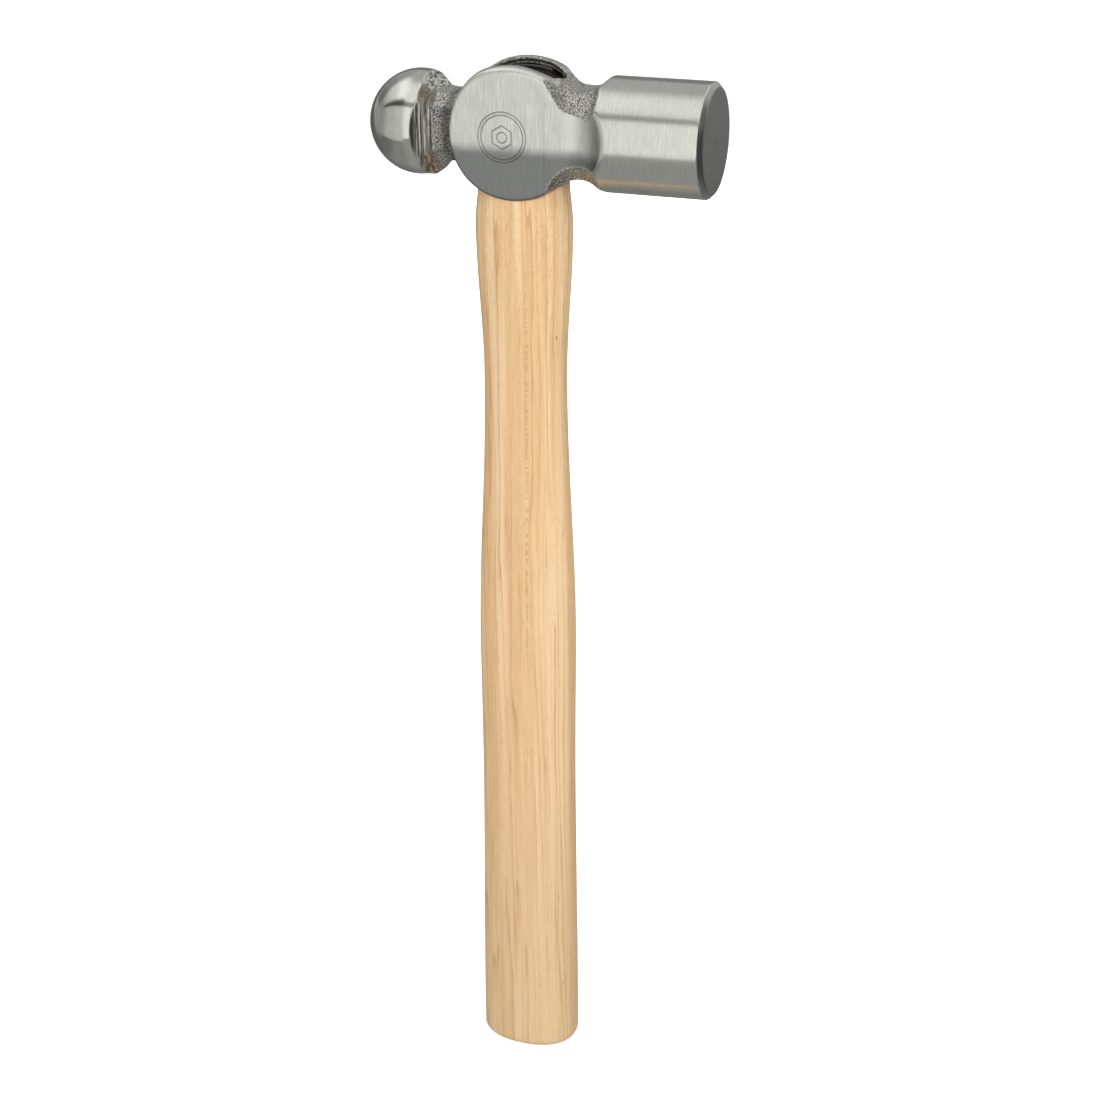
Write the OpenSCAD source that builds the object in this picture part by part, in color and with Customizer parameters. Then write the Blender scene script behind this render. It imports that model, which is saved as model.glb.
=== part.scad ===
// Ball peen hammer: a forged steel head, wedged on an oval hickory handle.
// Millimetres, +Z up along the handle, +X toward the striking face.
// The origin is the centre of the handle's butt face.

/* [Overall] */
// Length from the butt of the handle to the crown of the head
overall_len = 380; // [360:1:410]

/* [Head] */
// Distance from the eye's centre line to the striking face
face_reach = 65; // [62:0.5:70]
// Distance from the eye's centre line to the tip of the ball
ball_reach = 53; // [52:0.5:56]
// Diameter of the striking face end
face_d = 37.2; // [36:0.2:38]
// Width of the bevel round the striking face
face_bevel = 1.6; // [0.8:0.2:2.4]
// Diameter of the ball
ball_d = 34.6; // [34:0.2:35.4]
// Height of the round eye block
block_h = 42.8; // [42:0.2:44]
// Thickness of the head between its two flat cheeks
cheek_t = 25; // [24:0.5:26]
// Width of the bevel round the eye block
block_bevel = 0.7; // [0.4:0.1:1]

/* [Necks] */
// Height of the neck on the face side
face_neck_h = 28; // [27:0.5:29]
// Corner-to-corner size of the neck on the face side
face_neck_diag = 30.4; // [30:0.2:31.4]
// Height of the neck on the ball side
ball_neck_h = 22; // [21:0.2:24]
// Thickness of the neck on the ball side
ball_neck_w = 21; // [20:0.5:22]
// Corner-to-corner size of the neck on the ball side
ball_neck_diag = 24.8; // [24:0.2:26]

/* [Eye] */
// Length of the eye at its waist
eye_len = 27; // [25:0.5:28]
// Width of the eye at its waist
eye_w = 14; // [13:0.5:15]
// How much wider the eye is on each side at the crown
eye_flare_top = 1.2; // [0.8:0.1:1.6]
// How much wider the eye is on each side where the handle enters
eye_flare_low = 0.5; // [0.3:0.1:0.8]

/* [Handle] */
// Width of the butt
butt_w = 37.2; // [35:0.2:39]
// Thickness of the butt
butt_t = 27.6; // [26:0.2:29]
// Rounding of the butt's edge
butt_round = 2.4; // [1.5:0.1:4]
// Width of the grip above the butt
grip_w = 34.9; // [33:0.1:37]
// Thickness of the grip above the butt
grip_t = 26; // [24:0.2:27]
// Height of that part of the grip
grip_z = 130; // [120:1:140]
// Width of the belly
belly_w = 35.2; // [34:0.1:37]
// Thickness of the belly
belly_t = 26.4; // [25:0.2:28]
// Height of the belly
belly_z = 172; // [165:1:180]
// Width of the waist, the thinnest part
waist_w = 28.8; // [27:0.2:31]
// Thickness of the waist
waist_t = 22; // [20:0.5:24]
// Height of the waist
waist_z = 274; // [262:1:280]
// Width of the swell just below the head
swell_w = 33; // [31:0.2:34]
// Thickness of the swell
swell_t = 24.6; // [23:0.2:25]
// Distance of the swell below the eye's centre
swell_drop = 32; // [30:1:36]
// Width of the shoulder the head sits on
shoulder_w = 30.6; // [30:0.2:31.2]
// Thickness of the shoulder
shoulder_t = 24; // [22:0.5:24.5]

/* [Tenon and wedges] */
// How far the end of the tenon sits below the crown
tenon_recess = 2.4; // [1.5:0.1:4]
// Thickness of the wooden wedge at its top
wood_wedge_t = 4.4; // [3.6:0.1:5]
// Thickness of the wooden wedge at its point
wood_wedge_point = 1.6; // [1.2:0.1:2]
// How far the wooden wedge reaches down from the crown
wood_wedge_depth = 33; // [28:0.5:36]
// How far the saw cut runs on below the wooden wedge
kerf_run = 5; // [2:0.5:6]
// How far the wooden wedge sits below the crown
wood_wedge_recess = 1.8; // [1.2:0.1:3]
// Length of the steel wedge
steel_wedge_len = 19; // [14:0.5:20]
// Thickness of the steel wedge at its top
steel_wedge_t = 2.6; // [2:0.1:3]
// Thickness of the steel wedge at its edge
steel_wedge_edge = 0.7; // [0.5:0.1:1]
// How far the steel wedge reaches down from the crown
steel_wedge_depth = 19; // [14:0.5:22]
// How far the steel wedge sits below the crown
steel_wedge_recess = 1; // [0.6:0.1:2]
// Angle of the steel wedge across the wooden one
steel_wedge_turn = 24; // [15:1:30]

/* [Hidden] */
$fn = 96;
crown_z = block_h / 2;
head_z = overall_len - crown_z;
half_t = cheek_t / 2;
reach = 60;
// The eye block is rounder than square: four wide arcs, one on each side
block_r = 25;
block_shift = block_r - crown_z;
// Centres and radii of the hollows that form the necks
face_neck_x = 21.8;
face_neck_r = 9.5;
face_diag_x = 21.6;
face_diag_r = 10.7;
land_x = 17.5;
land_r = 21;
ball_neck_x = -24.6;
ball_neck_r = 7.5;
ball_side_r = 8.5;
ball_diag_r = 8;
ball_neck_d = ball_d - 0.6;
ball_x = ball_d / 2 - ball_reach;
// Where each neck ends inside the eye block
face_root = 11;
ball_root = 16.5;
// The eye is an oblong with round ends, a little wider at both mouths
eye_end_x = (eye_len - eye_w) / 2;
eye_over = 1;
tenon_block = 15;
eye_top = crown_z + eye_over;
eye_low = -crown_z - eye_over;
// The handle is a stack of rounded sections joined by a smooth curve
ring_n = 48;
steps = 36;
oval_power = 2.25;
shoulder_z = head_z - 8;
swell_z = head_z - swell_drop;
seat_gap = 0.02;
seat_level = 5;

function ease(t) = (1 - cos(180 * t)) / 2;
function mixed(a, b, t) = a + (b - a) * ease(t);
function along(z, zs, vs, i = 0) =
    i >= len(zs) - 2 || z <= zs[i + 1]
    ? mixed(vs[i], vs[i + 1], (z - zs[i]) / (zs[i + 1] - zs[i]))
    : along(z, zs, vs, i + 1);
function bent(v) = sign(v) * pow(abs(v), 2 / oval_power);
function oval(w, t, z) =
    [for (k = [0:ring_n - 1]) let(a = 360 * k / ring_n)
        [w / 2 * bent(cos(a)), t / 2 * bent(sin(a)), z]];
function handle_w(z) = along(z, stations, widths);
function handle_t(z) = along(z, stations, depths);
stations = [0, grip_z, belly_z, waist_z, swell_z, shoulder_z];
widths = [butt_w, grip_w, belly_w, waist_w, swell_w, shoulder_w];
depths = [butt_t, grip_t, belly_t, waist_t, swell_t, shoulder_t];
butt_rings = 5;

// A solid skinned over closed rings of points, capped at both ends
module skin(rings) {
    n = len(rings[0]);
    m = len(rings);
    points = [for (ring = rings) for (p = ring) p];
    sides = [for (j = [0:m - 2]) for (k = [0:n - 1]) let(l = (k + 1) % n)
        [j * n + k, (j + 1) * n + k, (j + 1) * n + l, j * n + l]];
    low = [for (k = [0:n - 1]) k];
    high = [for (k = [n - 1:-1:0]) (m - 1) * n + k];
    polyhedron(points, concat([low], sides, [high]));
}

// A cylinder lying along Y that hollows the stock down to a distance from X
module hollow(x, r, dist, turn) {
    rotate([turn, 0, 0])
        translate([x, 0, dist + r])
            rotate([90, 0, 0])
                cylinder(r = r, h = 2 * reach, center = true);
}

// The same hollow, with the stock between it and the eye block cut level
module shelf(x, r, dist, turn) {
    hollow(x, r, dist, turn);
    rotate([turn, 0, 0])
        translate([min(x, 0), -reach, dist])
            cube([abs(x), 2 * reach, reach]);
}

module face_end() {
    r = face_d / 2;
    difference() {
        rotate([0, 90, 0])
            rotate_extrude()
                polygon([[0, face_root], [r, face_root], [r, face_reach - face_bevel],
                         [r - face_bevel, face_reach], [0, face_reach]]);
        shelf(land_x, land_r, half_t, 90);
        shelf(land_x, land_r, half_t, -90);
    }
}

module ball_end() {
    difference() {
        translate([ball_x, 0, 0])
            rotate([0, 90, 0]) {
                sphere(d = ball_d);
                cylinder(d = ball_neck_d, h = -ball_root - ball_x);
            }
        for (turn = [0, 180])
            shelf(ball_neck_x, ball_neck_r, ball_neck_h / 2, turn);
        for (turn = [90, -90])
            shelf(ball_neck_x, ball_side_r, ball_neck_w / 2, turn);
        for (turn = [45:90:315])
            shelf(ball_neck_x, ball_diag_r, ball_neck_diag / 2, turn);
    }
}

// A bevelled disc lying along Y, its centre shifted away from one side
module block_disc(turn) {
    r = block_r;
    b = block_bevel;
    rotate([90, turn, 0])
        translate([-block_shift, 0, 0])
            rotate_extrude()
                polygon([[0, -half_t], [r - b, -half_t], [r, b - half_t],
                         [r, half_t - b], [r - b, half_t], [0, half_t]]);
}

module eye_block() {
    intersection() {
        block_disc(0);
        block_disc(90);
        block_disc(180);
        block_disc(270);
    }
}

// One length of the eye, from its width at z0 to its width at z1
module eye_length(z0, z1, w0, w1) {
    h = z1 - z0;
    translate([0, 0, z0]) {
        for (x = [-eye_end_x, eye_end_x])
            translate([x, 0, 0]) cylinder(d1 = w0, d2 = w1, h = h);
        translate([-eye_end_x, 0, 0])
            rotate([90, 0, 90])
                linear_extrude(2 * eye_end_x)
                    polygon([[-w0 / 2, 0], [w0 / 2, 0], [w1 / 2, h], [-w1 / 2, h]]);
    }
}

module eye() {
    eye_length(eye_low, 0, eye_w + 2 * eye_flare_low, eye_w);
    eye_length(0, eye_top, eye_w, eye_w + 2 * eye_flare_top);
}

// A bar lying along Y whose round top follows the crown, a set depth below it
module under_crown(depth) {
    translate([0, 0, -block_shift])
        rotate([90, 0, 0])
            cylinder(r = block_r - depth, h = cheek_t, center = true);
    translate([-tenon_block, -half_t, eye_low])
        cube([2 * tenon_block, cheek_t, -eye_low]);
}

module wood_wedge_blank() {
    drop = wood_wedge_depth;
    top = wood_wedge_t / 2;
    point = wood_wedge_point / 2;
    translate([-reach / 2, 0, crown_z - drop])
        rotate([90, 0, 90])
            linear_extrude(reach)
                polygon([[-point, 0], [point, 0], [top, drop], [-top, drop]]);
}

module steel_wedge_blank() {
    drop = steel_wedge_depth;
    top = steel_wedge_t / 2;
    edge = steel_wedge_edge / 2;
    rotate([0, 0, steel_wedge_turn])
        translate([-steel_wedge_len / 2, 0, crown_z - drop])
            rotate([90, 0, 90])
                linear_extrude(steel_wedge_len)
                    polygon([[-edge, 0], [edge, 0], [top, drop], [-top, drop]]);
}

module kerf() {
    wood_wedge_blank();
    translate([-reach / 2, -wood_wedge_point / 2, crown_z - wood_wedge_depth - kerf_run])
        cube([reach, wood_wedge_point, kerf_run + 1]);
}

module head_stock() {
    difference() {
        union() {
            face_end();
            eye_block();
        }
        for (turn = [0, 180])
            hollow(face_neck_x, face_neck_r, face_neck_h / 2, turn);
        for (turn = [45:90:315])
            hollow(face_diag_x, face_diag_r, face_neck_diag / 2, turn);
    }
    ball_end();
}

module head() {
    color("silver")
        translate([0, 0, head_z])
            difference() {
                head_stock();
                eye();
            }
}

module handle_body() {
    butt = [for (k = [0:butt_rings - 1]) let(a = 90 * k / butt_rings,
            d = 2 * butt_round * (1 - sin(a)), z = butt_round * (1 - cos(a)))
        oval(butt_w - d, butt_t - d, z)];
    rest = [for (k = [0:steps]) let(z = butt_round + (shoulder_z - butt_round) * k / steps)
        oval(handle_w(z), handle_t(z), z)];
    skin(concat(butt, rest));
}

// The seat under the head: the shoulder is shaped to the eye block's round
// underside, and stops level below the neck on the face side
module seat() {
    translate([0, 0, block_shift])
        rotate([90, 0, 0])
            cylinder(r = block_r + seat_gap, h = 2 * reach, center = true);
    translate([0, -reach, seat_level - crown_z])
        cube([reach, 2 * reach, reach]);
}

module tenon() {
    intersection() {
        eye();
        under_crown(tenon_recess);
    }
}

module handle() {
    color("burlywood") {
        difference() {
            union() {
                difference() {
                    handle_body();
                    translate([0, 0, head_z]) seat();
                }
                translate([0, 0, head_z]) tenon();
            }
            translate([0, 0, head_z]) {
                kerf();
                steel_wedge_blank();
            }
        }
    }
}

module wood_wedge() {
    color("peru")
        translate([0, 0, head_z])
            difference() {
                intersection() {
                    wood_wedge_blank();
                    eye();
                    under_crown(wood_wedge_recess);
                }
                steel_wedge_blank();
            }
}

module steel_wedge() {
    color("dimgray")
        translate([0, 0, head_z])
            intersection() {
                steel_wedge_blank();
                under_crown(steel_wedge_recess);
            }
}

head();
handle();
wood_wedge();
steel_wedge();
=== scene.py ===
"""Looks of the ball peen hammer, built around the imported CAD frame."""

import math

import bmesh
import bpy
import numpy as np
from mathutils import Matrix, Vector


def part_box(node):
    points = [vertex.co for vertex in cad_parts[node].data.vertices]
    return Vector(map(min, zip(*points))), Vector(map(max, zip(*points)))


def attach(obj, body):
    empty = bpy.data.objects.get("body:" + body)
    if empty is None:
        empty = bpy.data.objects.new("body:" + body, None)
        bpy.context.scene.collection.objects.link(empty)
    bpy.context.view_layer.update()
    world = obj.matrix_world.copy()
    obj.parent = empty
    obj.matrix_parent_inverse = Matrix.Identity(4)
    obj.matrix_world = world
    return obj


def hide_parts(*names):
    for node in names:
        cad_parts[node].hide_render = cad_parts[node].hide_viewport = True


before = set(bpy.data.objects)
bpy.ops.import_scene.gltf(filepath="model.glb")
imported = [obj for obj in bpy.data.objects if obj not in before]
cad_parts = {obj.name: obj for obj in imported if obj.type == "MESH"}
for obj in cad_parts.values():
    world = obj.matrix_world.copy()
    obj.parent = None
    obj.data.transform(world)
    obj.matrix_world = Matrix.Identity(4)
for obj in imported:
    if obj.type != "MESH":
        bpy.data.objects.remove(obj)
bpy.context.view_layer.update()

MM = 0.001
head_low, head_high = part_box("head")
# Lengths are in millimetres, and the head's are measured from the centre of its eye
HEAD_Z = (head_low[2] + head_high[2]) / 2 / MM
CROWN = (head_high[2] - head_low[2]) / 2 / MM
FACE_X = head_high[0] / MM
BALL_TIP = head_low[0] / MM
POLL_R = (head_high[1] - head_low[1]) / 2 / MM
HALF_T = 12.5


# ---------------------------------------------------------------- noise

# large odd numbers that scatter neighbouring cells
HASH_PRIMES = (73856093, 19349663, 83492791, 2654435761)
MIX_PRIME = 1274126177
LOW_BITS = 0xFFFFFF


def hashed(ix, iy, iz, seed):
    """A number from 0 to 1 for each whole-number cell."""
    n = 0
    for value, prime in zip((ix, iy, iz, seed), HASH_PRIMES):
        n = n ^ (value * prime)
    n = (n ^ (n >> 13)) * MIX_PRIME
    return ((n ^ (n >> 16)) & LOW_BITS) / float(LOW_BITS)


def grain(p, scale, seed):
    """Smooth noise from -1 to 1. scale is the cells per millimetre along each axis."""
    q = p * np.asarray(scale, float) + 1000.0
    cell = np.floor(q).astype(np.int64)
    t = q - cell
    t = t * t * (3 - 2 * t)
    total = 0.0
    for dx in (0, 1):
        wx = t[:, 0] if dx else 1 - t[:, 0]
        for dy in (0, 1):
            wy = t[:, 1] if dy else 1 - t[:, 1]
            for dz in (0, 1):
                wz = t[:, 2] if dz else 1 - t[:, 2]
                total = total + wx * wy * wz * hashed(
                    cell[:, 0] + dx, cell[:, 1] + dy, cell[:, 2] + dz, seed)
    return 2 * total - 1


def step(low, high, v):
    """0 up to low, 1 from high on, and eased between them."""
    t = np.clip((v - low) / (high - low), 0, 1)
    return t * t * (3 - 2 * t)


def between(v, start, end):
    """1 from start to end, each a pair of places to ease between."""
    return step(*start, v) * (1 - step(*end, v))


def bump(centre, width, v):
    """1 at the centre, fading out over about a width on both sides."""
    return np.exp(-((v - centre) / width) ** 2)


# ---------------------------------------------------------------- solids as fields

def both(a, b, k=0.0):
    """Intersection of two fields, its edge rounded over a width k."""
    h = np.maximum(k - np.abs(a - b), 0)
    return np.maximum(a, b) + h * h / (4 * k + 1e-9)


def either(a, b, k=0.0):
    """Union of two fields, the corner between them filled over a width k."""
    return -both(-a, -b, k)


def profile(v, depth, points):
    """How far a point stands outside a profile given as (position, depth) pairs."""
    at, deep = np.array(points, float).T
    level = np.interp(v, at, deep)
    slope = np.gradient(deep, at)
    lean = np.interp(v, at, slope)
    return (depth - level) / np.sqrt(1 + lean * lean)


def straight(v, depth, at, level, slope):
    """How far a point stands outside a straight side that is at this level at one place."""
    return (depth - level - slope * (v - at)) / math.hypot(1, slope)


def hollow(x, depth, cx, r, deepest):
    """A round hollow along X, its centre outside the metal."""
    return r - np.hypot(x - cx, depth - deepest - r)


def shelf(x, depth, cx, r, deepest):
    """A round hollow, levelled at its deepest from its centre towards the eye."""
    level = depth - deepest
    return np.where((x - cx) * np.sign(cx) < 0, level, hollow(x, depth, cx, r, deepest))


# the striking end, from its foot in the eye block to the face
POLL_FOOT = 11.0
FACE_BEVEL = 1.6
BEVEL_ROUND = 0.35
FACE_ROUND = 0.3
# its neck: hollows above and below, at the sides and on the diagonals
FACE_NECK = dict(cx=21.8, r=9.5, deepest=14.0)
LAND = dict(cx=17.5, r=21.0, deepest=HALF_T)
LOW_DIAG = dict(cx=21.6, r=10.7, deepest=15.2)
DIAG_FLOOR = 14.9
DIAG_FALL = dict(at=17.2, level=15.1, slope=-1.076)
DIAG_FALL_ROUND = 2.2
DIAG_CLIMB = dict(at=26.6, level=15.0, slope=1.4)
DIAG_CLIMB_ROUND = 1.0
# the ball and its neck, with the flats behind the ball
BALL_R = 17.3
BALL_X = BALL_TIP + BALL_R
BALL_NECK_R = 17.0
BALL_NECK_END = -14.5
BALL_TOP = dict(cx=-24.6, r=7.5, deepest=11.0)
BALL_LOW = [(-34, 21.0), (-24.6, 11.3), (-23.6, 11.0), (-14, 11.0)]
BALL_DIAG = [(-34, 19.3), (-27.2, 12.6), (-25, 12.3), (-14, 12.3)]
BALL_SIDE = [(-34.2, 19.5), (-32.9, 16.9), (-32.2, 15.2), (-27.6, 11.3), (-25.5, 10.7),
             (-23.4, 10.0), (-22.0, 10.0), (-18, 11.5)]
RIDGED = ((-32.6, -32.0), (-28.2, -27.8))
# the eye block, of four wide arcs that meet in rounded corners
BLOCK_R = 25.0
BLOCK_SHIFT = BLOCK_R - CROWN
BLOCK_CORNER = 2.0
# its stock stands proud of the arcs round the eye's upper mouth, clear of the cheeks, and
# again towards the ball; at and spread are in degrees from the striking end upwards
PROUD = 0.55
PROUD_SIDE = (9.0, 12.9)
PROUD_TURN = dict(at=98, spread=38)
PROUD_BACK = 0.45
PROUD_BACK_TURN = dict(at=124, spread=16)
# the edge between the block and its cheeks, rounded more over the eye
CHEEK_EDGE = 0.9
CHEEK_EDGE_MORE = 1.7
CHEEK_EDGE_TURN = dict(at=95, spread=42)
# the eye: a slot with round ends, wider at its mouths
EYE_HALF = 6.5
EYE_R = 7.0
EYE_FLARE_TOP = 1.2
EYE_FLARE_FOOT = 0.5
# how wide each edge of the head is rounded
EDGE = dict(land=0.8, block=0.25, face_neck=1.2, face_diag=0.5, ball_top=1.0, ball_low=0.5,
            ball_diag=0.35, ball_side=0.35, ball=1.2, eye=0.9)


def toward(x, z, at, spread):
    """1 in one direction round the eye, fading out to both sides."""
    return bump(at, spread, np.degrees(np.arctan2(z, x)))


def eye_block(x, y, z):
    """The round block, its stock standing a little proud round the eye's upper mouth."""
    s = BLOCK_SHIFT
    arcs = both(both(np.hypot(x, z + s), np.hypot(x, z - s), BLOCK_CORNER),
                both(np.hypot(x + s, z), np.hypot(x - s, z), BLOCK_CORNER),
                BLOCK_CORNER) - BLOCK_R
    proud = PROUD * (1 - step(*PROUD_SIDE, np.abs(y))) * toward(x, z, **PROUD_TURN)
    return arcs - proud - PROUD_BACK * toward(x, z, **PROUD_BACK_TURN)


def eye_slot(x, y, z):
    """The eye, negative inside it."""
    flare = np.where(z > 0, EYE_FLARE_TOP, EYE_FLARE_FOOT) * np.abs(z) / CROWN
    run = np.maximum(np.abs(x) - EYE_HALF, 0)
    return np.hypot(run, y) - EYE_R - flare


def ridges(x, z):
    """Fine upright ridges left on the flat at the side of the ball's neck."""
    wave = 0.13 * np.sin((x + 0.04 * np.sin(0.4 * z)) * 5.4) + 0.05 * np.sin(x * 9.7 + 1)
    return wave * between(x, *RIDGED)


def parts(x, y, z):
    """The fields that the head is made of, each negative inside."""
    side, rise = np.abs(y), np.abs(z)
    diag = (side + rise) / math.sqrt(2)
    round_r = np.hypot(y, z)
    f = {}
    bevel = (round_r + x - (POLL_R + FACE_X - FACE_BEVEL)) / math.sqrt(2)
    poll = both(both(round_r - POLL_R, bevel, BEVEL_ROUND), x - FACE_X, FACE_ROUND)
    f["poll"] = both(poll, POLL_FOOT - x)
    f["block"] = eye_block(x, y, z)
    f["land"] = shelf(x, side, **LAND)
    f["face_neck"] = hollow(x, rise, **FACE_NECK)
    fall = either(straight(x, diag, **DIAG_FALL), diag - DIAG_FLOOR, DIAG_FALL_ROUND)
    upper = either(fall, straight(x, diag, **DIAG_CLIMB), DIAG_CLIMB_ROUND)
    f["face_diag"] = np.where(z > 0, upper, hollow(x, diag, **LOW_DIAG))
    ball = np.sqrt((x - BALL_X) ** 2 + y * y + z * z) - BALL_R
    neck = both(both(round_r - BALL_NECK_R, BALL_X - x), x - BALL_NECK_END)
    f["ball"] = either(ball, neck)
    f["ball_side"] = profile(x, side + ridges(x, z), BALL_SIDE)
    f["ball_diag"] = profile(x, diag, BALL_DIAG)
    f["ball_low"] = profile(x, -z, BALL_LOW)
    f["ball_top"] = shelf(x, z, **BALL_TOP)
    f["eye"] = eye_slot(x, y, z)
    return f


def head_field(x, y, z):
    """The whole head: block and striking end, the ball and its neck, less the eye."""
    f = parts(x, y, z)
    striking = both(f["poll"], f["land"], EDGE["land"])
    cheek_edge = CHEEK_EDGE + CHEEK_EDGE_MORE * toward(x, z, **CHEEK_EDGE_TURN)
    block = both(f["block"], np.abs(y) - HALF_T, cheek_edge)
    stock = either(striking, block, EDGE["block"])
    for key in ("face_neck", "face_diag"):
        stock = both(stock, f[key], EDGE[key])
    ball = f["ball"]
    for key in ("ball_top", "ball_low", "ball_diag", "ball_side"):
        ball = both(ball, f[key], EDGE[key])
    solid = either(stock, ball, EDGE["ball"])
    return both(solid, -f["eye"], EDGE["eye"])


# ---------------------------------------------------------------- meshing

def net(field, low, high, h):
    """Points and quads of a field's surface, on a grid of spacing h."""
    low, high = np.array(low, float), np.array(high, float)
    n = (np.ceil((high - low) / (2 * h)).astype(int)) * 2 + 1
    ax = [low[i] + h * np.arange(n[i]) for i in range(3)]
    # the field at every other point, then at all points near the surface
    values = field(*np.meshgrid(ax[0][::2], ax[1][::2], ax[2][::2], indexing="ij"))
    for axis in range(3):
        values = np.repeat(values, 2, axis=axis)
    values = values[: n[0], : n[1], : n[2]].copy()
    reach = 3.2 * h
    near = np.nonzero(np.abs(values) < reach)
    values[near] = field(ax[0][near[0]], ax[1][near[1]], ax[2][near[2]])
    inside = values < 0
    # one point for each cell that the surface crosses, midway between its crossings
    cells = [slice(0, -1), slice(1, None)]
    corners = [(i, j, k) for i in (0, 1) for j in (0, 1) for k in (0, 1)]
    count = sum(inside[cells[i], cells[j], cells[k]].astype(np.int8) for i, j, k in corners)
    cell = np.nonzero((count > 0) & (count < 8))
    base = np.stack(cell, 1)
    value = {c: values[cell[0] + c[0], cell[1] + c[1], cell[2] + c[2]] for c in corners}
    total, hits = np.zeros((len(base), 3)), np.zeros(len(base))
    for a in corners:
        for axis in range(3):
            if a[axis]:
                continue
            b = tuple(1 if i == axis else a[i] for i in range(3))
            va, vb = value[a], value[b]
            cross = (va < 0) != (vb < 0)
            t = np.where(cross, va / np.where(cross, va - vb, 1), 0)
            for i in range(3):
                total[:, i] += np.where(cross, a[i] + (t if i == axis else 0), 0)
            hits += cross
    points = low + (base + total / hits[:, None]) * h
    number = np.full(np.array(n) - 1, -1, np.int32)
    number[cell] = np.arange(len(base))
    # one quad for each grid edge that the surface crosses
    quads = []
    for axis in range(3):
        u, v = [(1, 2), (2, 0), (0, 1)][axis]
        first = [slice(None)] * 3
        second = [slice(None)] * 3
        first[axis], second[axis] = slice(0, -1), slice(1, None)
        a, b = inside[tuple(first)], inside[tuple(second)]
        at = np.stack(np.nonzero(a != b), 1)
        at = at[(at[:, u] > 0) & (at[:, v] > 0) & (at[:, u] < n[u] - 1) & (at[:, v] < n[v] - 1)]
        around = []
        for du, dv in ((-1, -1), (0, -1), (0, 0), (-1, 0)):
            c = at.copy()
            c[:, u] += du
            c[:, v] += dv
            around.append(number[c[:, 0], c[:, 1], c[:, 2]])
        around = np.stack(around, 1)
        out = a[at[:, 0], at[:, 1], at[:, 2]]
        quads.append(np.where(out[:, None], around, around[:, ::-1]))
    return points, np.concatenate(quads)


def slopes(field, p, d=0.05):
    """The field and its gradient at each point, from four samples around it."""
    g = np.zeros_like(p)
    middle = 0
    for corner in ((1, 1, 1), (1, -1, -1), (-1, 1, -1), (-1, -1, 1)):
        v = field(*(p + d * np.array(corner)).T)
        middle = middle + v / 4
        g += v[:, None] * np.array(corner) / (4 * d)
    return middle, g


def settle(field, p, rounds=2, reach=0.3):
    """Points moved onto the field's surface, with their normals."""
    for _ in range(rounds):
        v, g = slopes(field, p)
        size = np.maximum((g * g).sum(1), 0.3)
        p = p - np.clip(v / size, -reach, reach)[:, None] * g
    v, g = slopes(field, p)
    return p, g / np.maximum(np.linalg.norm(g, axis=1), 1e-6)[:, None]


def strip(first, second, n):
    """Quads between two rings of n points, from the number of each ring's first point."""
    k = np.arange(n)
    after = (k + 1) % n
    return np.stack([first + k, first + after, second + after, second + k], 1).tolist()


def fan(centre, start, n, down=False):
    """Triangles that close a ring of n points at a centre, facing up or down."""
    k = np.arange(n)
    after = (k + 1) % n
    a, b = (after, k) if down else (k, after)
    return np.stack([np.full(n, centre), start + a, start + b], 1).tolist()


def make(name, points, faces, slot, finish, lift=HEAD_Z, **attributes):
    """A smooth piece from points in millimetres, with one number per point and attribute."""
    mesh = bpy.data.meshes.new(name)
    mesh.from_pydata(((points + [0, 0, lift]) * MM).tolist(), [], faces)
    mesh.update()
    mesh.shade_smooth()
    for key, values in attributes.items():
        data = mesh.attributes.new(key, "FLOAT", "POINT")
        data.data.foreach_set("value", np.asarray(values, np.float32))
    mesh.materials.append(finish)
    piece = bpy.data.objects.new(name, mesh)
    bpy.context.collection.objects.link(piece)
    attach(piece, "root")
    return piece


# ---------------------------------------------------------------- node graphs

class Nodes:
    """Short ways to add nodes to one tree."""

    def __init__(self, tree):
        self.tree = tree
        tree.nodes.clear()

    def new(self, kind, **settings):
        node = self.tree.nodes.new(kind)
        for key, value in settings.items():
            setattr(node, key, value)
        return node

    def link(self, a, b):
        self.tree.links.new(a, b)

    def put(self, socket, value):
        if isinstance(value, bpy.types.NodeSocket):
            self.link(value, socket)
        else:
            socket.default_value = value

    def split(self, vector):
        node = self.new("ShaderNodeSeparateXYZ")
        self.link(vector, node.inputs[0])
        return node.outputs

    def math(self, operation, *values):
        node = self.new("ShaderNodeMath", operation=operation)
        for i, value in enumerate(values):
            self.put(node.inputs[i], value)
        return node.outputs[0]

    def add(self, a, b):
        return self.math("ADD", a, b)

    def mul(self, a, b):
        return self.math("MULTIPLY", a, b)

    def ramp(self, v, low, high, a=0.0, b=1.0):
        """v from low..high to a..b, eased and held at both ends."""
        node = self.new("ShaderNodeMapRange", interpolation_type="SMOOTHSTEP")
        for i, value in enumerate((v, low, high, a, b)):
            self.put(node.inputs[i], value)
        return node.outputs[0]

    def band(self, v, low, high, soft):
        """1 from low to high, with both ends soft."""
        return self.mul(self.ramp(v, low - soft, low + soft),
                        self.ramp(v, high - soft, high + soft, 1.0, 0.0))

    def lerp(self, fac, a, b):
        node = self.new("ShaderNodeMix", data_type="FLOAT")
        self.put(node.inputs["Factor"], fac)
        self.put(node.inputs[2], a)
        self.put(node.inputs[3], b)
        return node.outputs[0]


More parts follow.
